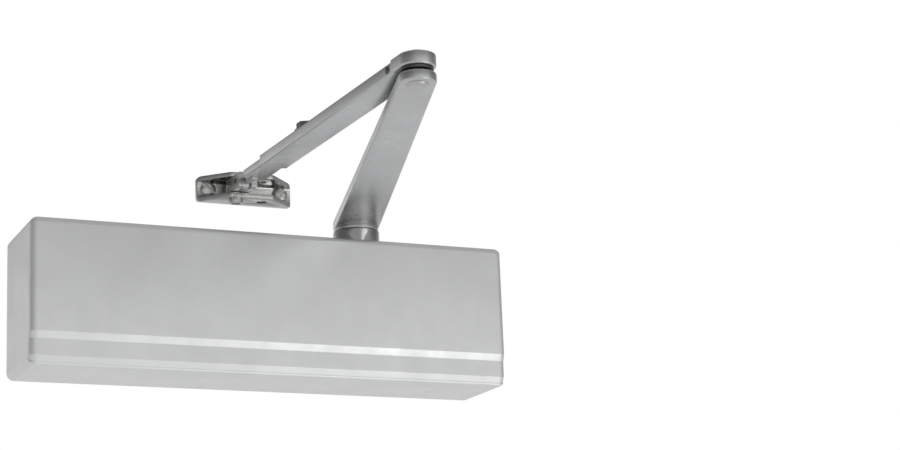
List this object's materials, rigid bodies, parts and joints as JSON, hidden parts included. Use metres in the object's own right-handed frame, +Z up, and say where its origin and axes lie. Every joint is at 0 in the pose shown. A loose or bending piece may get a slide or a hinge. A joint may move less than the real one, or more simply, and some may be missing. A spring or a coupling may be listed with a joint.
{
  "type": "door closer",
  "caption": "Surface-mounted door closer: box cover over a rack-and-pinion cylinder with a return spring, and a two-lever arm with an adjustable forearm and a pivoting frame shoe.",
  "frame": {"origin": "on the back face of the housing, which lies against the door, at the middle of the cylinder", "axes": "+X along the cover towards the spindle end, +Y into the door, -Y out of the door towards the user, +Z up along the spindle"},
  "size_m": [0.315, 0.347, 0.1284],
  "materials": {
    "silver_paint": "satin",
    "arm_paint": "satin",
    "cast_housing": "matt, as cast and painted",
    "dark_steel": "dark zinc plated",
    "satin_steel": "satin",
    "cast_shoe": "bright nickel plated",
    "polished_steel": "polished",
    "spring_steel": "oiled",
    "brass": "turned",
    "rubber": "matt"
  },
  "bodies": {
    "closer": {"cover": "silver_paint", "housing": "cast_housing", "left_end_plug": "dark_steel", "right_end_plug": "dark_steel", "left_plug_seal": "rubber", "right_plug_seal": "rubber", "main_spring": "spring_steel", "upper_bearing": "satin_steel", "lower_bearing": "satin_steel", "upper_seal": "rubber", "lower_seal": "rubber", "upper_bearing_cap": "dark_steel", "lower_bearing_cap": "dark_steel", "mounting_screw_lower_left": "dark_steel", "mounting_screw_upper_left": "dark_steel", "mounting_screw_lower_right": "dark_steel", "mounting_screw_upper_right": "dark_steel", "cover_clip_left": "spring_steel", "cover_clip_right": "spring_steel", "clip_screw_left": "dark_steel", "clip_screw_right": "dark_steel"},
    "spindle": {"pinion_shaft": "polished_steel", "spindle_collar": "polished_steel", "main_arm": "arm_paint", "arm_washer": "dark_steel", "arm_screw": "dark_steel", "elbow_rivet": "satin_steel", "elbow_washer": "dark_steel"},
    "piston": {"piston": "satin_steel", "check_valve": "brass"},
    "forearm": {"elbow_knuckle": "arm_paint", "knuckle_pin": "dark_steel", "forearm_tube": "arm_paint"},
    "slide": {"slide_bar": "arm_paint", "clamp_washer": "dark_steel"},
    "clamp": {"clamp_screw": "dark_steel"},
    "block": {"pivot_block": "satin_steel", "tongue_pin": "dark_steel"},
    "frame_shoe": {"shoe": "cast_shoe", "shoe_rivet": "cast_shoe", "frame_screw_left": "satin_steel", "frame_screw_right": "satin_steel"},
    "preload_screw": {"spring_adjuster": "satin_steel"},
    "preload_seat": {"spring_seat": "dark_steel"},
    "sweep": {"sweep_valve": "brass"},
    "latch": {"latch_valve": "brass"},
    "backcheck": {"backcheck_valve": "brass"}
  },
  "joints": [
    {"name": "spindle_turn", "type": "hinge", "parent": "closer", "child": "spindle", "pos_m": [0.0666, -0.03, 0], "axis": [0, 0, 1], "range_deg": [-115, 25], "stiffness_Nm_per_rad": 12},
    {"name": "piston_travel", "type": "slide", "parent": "closer", "child": "piston", "axis": [1, 0, 0], "range_m": [-0.0185, 0.0043], "deforming": ["main_spring"]},
    {"name": "elbow", "type": "hinge", "parent": "spindle", "child": "forearm", "pos_m": [-0.01435, -0.31991, 0.0727], "axis": [0, 0, 1], "range_deg": [-5, 140]},
    {"name": "length_adjust", "type": "slide", "parent": "forearm", "child": "slide", "axis": [-0.0489, 0.9988, 0], "range_m": [-0.029, 0.036]},
    {"name": "clamp_turn", "type": "hinge", "parent": "slide", "child": "clamp", "pos_m": [-0.02158, -0.17209, 0.0727], "axis": [0, 0, 1], "range_deg": [-720, 0]},
    {"name": "tongue_pivot", "type": "hinge", "parent": "slide", "child": "block", "pos_m": [-0.0263, -0.0755, 0.0727], "axis": [-0.9988, -0.0489, 0], "range_deg": [-8, 8]},
    {"name": "shoe_turn", "type": "hinge", "parent": "block", "child": "frame_shoe", "pos_m": [-0.02703, -0.06052, 0.0727], "axis": [0, 0, 1], "range_deg": [-75, 75]},
    {"name": "preload_turn", "type": "hinge", "parent": "closer", "child": "preload_screw", "pos_m": [-0.1414, -0.03, 0], "axis": [1, 0, 0], "range_deg": [0, 1800]},
    {"name": "preload_travel", "type": "slide", "parent": "closer", "child": "preload_seat", "axis": [1, 0, 0], "range_m": [0, 0.00624], "deforming": ["main_spring"]},
    {"name": "sweep_turn", "type": "hinge", "parent": "closer", "child": "sweep", "pos_m": [0.1315, -0.016, 0.026], "axis": [1, 0, 0], "range_deg": [-360, 360]},
    {"name": "latch_turn", "type": "hinge", "parent": "closer", "child": "latch", "pos_m": [0.1315, -0.016, -0.026], "axis": [1, 0, 0], "range_deg": [-360, 360]},
    {"name": "backcheck_turn", "type": "hinge", "parent": "closer", "child": "backcheck", "pos_m": [-0.1315, -0.016, 0.026], "axis": [1, 0, 0], "range_deg": [-360, 360]}
  ],
  "couplings": [
    {"joint": "piston_travel", "follows": "spindle_turn", "m_per_rad": 0.009},
    {"joint": "preload_turn", "follows": "preload_travel", "rad_per_m": 5026.5}
  ]
}
